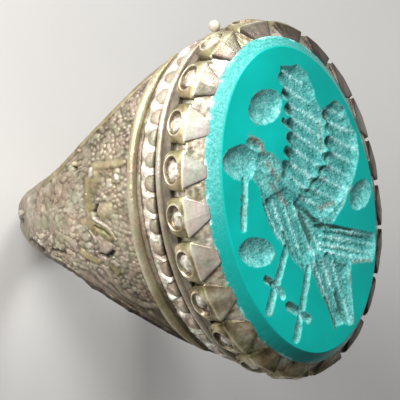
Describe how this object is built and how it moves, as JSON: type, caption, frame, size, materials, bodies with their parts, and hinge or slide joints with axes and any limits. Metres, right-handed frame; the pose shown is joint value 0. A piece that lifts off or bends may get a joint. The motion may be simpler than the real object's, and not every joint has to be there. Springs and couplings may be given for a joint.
{
  "type": "intaglio seal ring",
  "caption": "Old silver seal ring: flared hoop, toothed oval bezel with ring-and-dot lobes, scalloped band, and a turquoise stone cut with a crested bird.",
  "frame": {"origin": "centre of the finger hole", "axes": "+Y along the finger hole, +Z from the finger towards the stone, +X to the right shoulder"},
  "size_m": [0.0217, 0.0284, 0.0268],
  "materials": {
    "old_silver": "old low-grade silver, pinkish brown in the recesses",
    "worn_silver": "worn silver, bright on the high spots",
    "brassy_silver": "smooth silver with an olive, brassy skin",
    "recessed_silver": "dull grey-green silver below the teeth",
    "setting_cement": "old brown setting cement",
    "turquoise_stone": "polished blue-green stone with a frosted engraving"
  },
  "bodies": {
    "root": {"shank": "old_silver", "base_plate": "old_silver", "bezel_cup": "recessed_silver", "bearer_strip": "recessed_silver", "cement_bed": "setting_cement", "intaglio_stone": "turquoise_stone", "crown_teeth": "worn_silver", "tooth_annulets": "worn_silver", "tooth_pellets": "worn_silver", "lower_border_wire": "brassy_silver", "upper_border_wire": "brassy_silver", "scallop_strip": "recessed_silver", "scallop_lumps": "worn_silver", "end_granules": "worn_silver", "crown_collar": "recessed_silver", "left_motif": "brassy_silver", "right_motif": "brassy_silver"}
  },
  "joints": []
}
